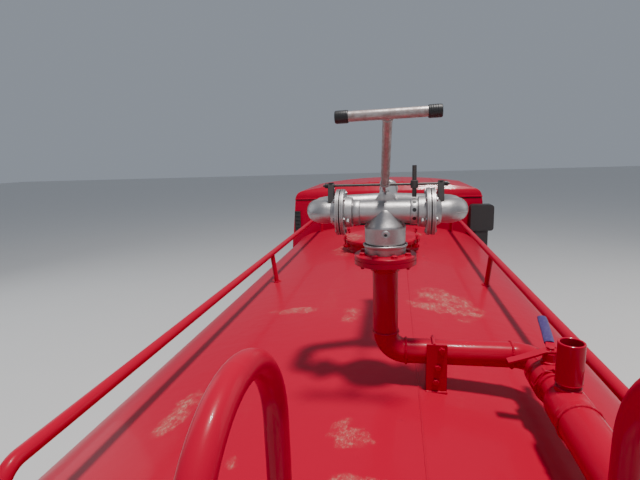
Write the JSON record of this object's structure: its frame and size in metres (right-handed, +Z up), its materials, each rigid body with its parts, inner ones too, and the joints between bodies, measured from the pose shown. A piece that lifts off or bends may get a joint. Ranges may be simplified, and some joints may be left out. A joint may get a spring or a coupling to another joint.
{
  "type": "water tanker fire truck",
  "caption": "Light cab-over tanker fire truck with tilting cab, water tank, roof monitor with pipework, handrails, manhole, ladder and rear pump.",
  "frame": {"origin": "on the ground under the middle of the bounding box", "axes": "+Y forward along the truck, +X to its right, +Z up"},
  "size_m": [2.5, 6.4, 2.6188],
  "materials": {
    "red_paint": "glossy red paint, dusty and scuffed",
    "chassis_black": "satin black chassis paint",
    "bumper_paint": "glossy red paint",
    "engine_iron": "painted casting",
    "tank_steel": "brushed steel",
    "tyre_rubber": "matt black rubber",
    "rim_silver": "silver paint",
    "cast_silver": "silver-painted cast aluminium",
    "bare_bar": "weathered steel bar with black caps",
    "pump_iron": "red painted casting",
    "glass": "clear safety glass",
    "black_plastic": "moulded black plastic",
    "dash_plastic": "grained grey plastic",
    "seat_cloth": "dark woven cloth",
    "lamp_clear": "clear lamp lens",
    "lamp_red": "red lamp lens",
    "grip_vinyl": "blue-purple dipped vinyl"
  },
  "bodies": {
    "chassis": {"chassis_frame": "chassis_black", "front_bumper": "bumper_paint", "front_axle": "chassis_black", "rear_axle": "chassis_black", "leaf_springs": "chassis_black", "engine": "engine_iron", "drive_line": "chassis_black", "fuel_tank": "tank_steel", "battery_box": "chassis_black", "side_guards": "chassis_black", "rear_mudguards": "black_plastic", "front_mudguards": "black_plastic", "tank_subframe": "red_paint", "water_tank": "red_paint", "manhole_neck": "red_paint", "handrails": "red_paint", "ladder": "red_paint", "monitor_riser": "red_paint", "delivery_pipe": "red_paint", "valve_lever": "grip_vinyl", "monitor_base": "cast_silver", "rear_platform": "red_paint", "tail_lamps": "lamp_red", "pump": "pump_iron", "snorkel": "black_plastic"},
    "cab": {"cab_roof": "red_paint", "cab_body": "red_paint", "cab_glass": "glass", "cab_vents": "black_plastic", "grille": "black_plastic", "headlamps": "lamp_clear", "dashboard": "dash_plastic", "seats": "seat_cloth", "mirrors": "black_plastic"},
    "left_door": {"door_left": "red_paint", "door_glass_left": "glass"},
    "right_door": {"door_right": "red_paint", "door_glass_right": "glass"},
    "hand_wheel": {"steering_wheel": "black_plastic"},
    "left_knuckle": {"knuckle_left": "chassis_black"},
    "right_knuckle": {"knuckle_right": "chassis_black"},
    "track_rod": {"tie_rod": "chassis_black"},
    "left_front_wheel": {"front_tyre_left": "tyre_rubber", "front_rim_left": "rim_silver"},
    "right_front_wheel": {"front_tyre_right": "tyre_rubber", "front_rim_right": "rim_silver"},
    "left_rear_wheels": {"rear_tyres_left": "tyre_rubber", "rear_rims_left": "rim_silver"},
    "right_rear_wheels": {"rear_tyres_right": "tyre_rubber", "rear_rims_right": "rim_silver"},
    "lid": {"manhole_lid": "red_paint"},
    "monitor_turret": {"monitor_swivel": "cast_silver"},
    "monitor_gun": {"monitor_barrel": "cast_silver", "monitor_handle": "bare_bar"}
  },
  "joints": [
    {"name": "cab_tilt", "type": "hinge", "parent": "chassis", "child": "cab", "pos_m": [0, 2.96, 0.662], "axis": [-1, 0, 0], "range_deg": [0, 45]},
    {"name": "left_door_swing", "type": "hinge", "parent": "cab", "child": "left_door", "pos_m": [-1.056, 2.745, 1.25], "axis": [0, 0, -1], "range_deg": [0, 70]},
    {"name": "right_door_swing", "type": "hinge", "parent": "cab", "child": "right_door", "pos_m": [1.056, 2.745, 1.25], "axis": [0, 0, 1], "range_deg": [0, 70]},
    {"name": "hand_wheel_turn", "type": "hinge", "parent": "cab", "child": "hand_wheel", "pos_m": [-0.42, 2.56, 1.452], "axis": [0, -0.6, 0.8], "range_deg": [-528, 528]},
    {"name": "steer_left", "type": "hinge", "parent": "chassis", "child": "left_knuckle", "pos_m": [-0.68, 2.1, 0.43], "axis": [0, 0, 1], "range_deg": [-33, 33]},
    {"name": "steer_right", "type": "hinge", "parent": "chassis", "child": "right_knuckle", "pos_m": [0.68, 2.1, 0.43], "axis": [0, 0, 1], "range_deg": [-33, 33]},
    {"name": "track_rod_swing", "type": "hinge", "parent": "left_knuckle", "child": "track_rod", "pos_m": [-0.68, 1.94, 0.322], "axis": [0, 0, 1], "range_deg": [-33, 33]},
    {"name": "left_front_spin", "type": "hinge", "parent": "left_knuckle", "child": "left_front_wheel", "pos_m": [-0.85, 2.1, 0.43], "axis": [-1, 0, 0], "continuous": true},
    {"name": "right_front_spin", "type": "hinge", "parent": "right_knuckle", "child": "right_front_wheel", "pos_m": [0.85, 2.1, 0.43], "axis": [-1, 0, 0], "continuous": true},
    {"name": "left_rear_spin", "type": "hinge", "parent": "chassis", "child": "left_rear_wheels", "pos_m": [-0.75, -1.6, 0.43], "axis": [-1, 0, 0], "continuous": true},
    {"name": "right_rear_spin", "type": "hinge", "parent": "chassis", "child": "right_rear_wheels", "pos_m": [0.75, -1.6, 0.43], "axis": [-1, 0, 0], "continuous": true},
    {"name": "lid_hinge", "type": "hinge", "parent": "chassis", "child": "lid", "pos_m": [0, 0.455, 1.896], "axis": [-1, 0, 0], "range_deg": [0, 110]},
    {"name": "monitor_pan", "type": "hinge", "parent": "chassis", "child": "monitor_turret", "pos_m": [0.078, -1.91, 2.247], "axis": [0, 0, 1], "continuous": true},
    {"name": "monitor_tilt", "type": "hinge", "parent": "monitor_turret", "child": "monitor_gun", "pos_m": [0.078, -1.91, 2.336], "axis": [1, 0, 0], "range_deg": [-15, 70]}
  ],
  "couplings": [
    {"joint": "steer_right", "follows": "steer_left", "ratio": 1},
    {"joint": "track_rod_swing", "follows": "steer_left", "ratio": -1},
    {"joint": "hand_wheel_turn", "follows": "steer_left", "ratio": 16}
  ]
}
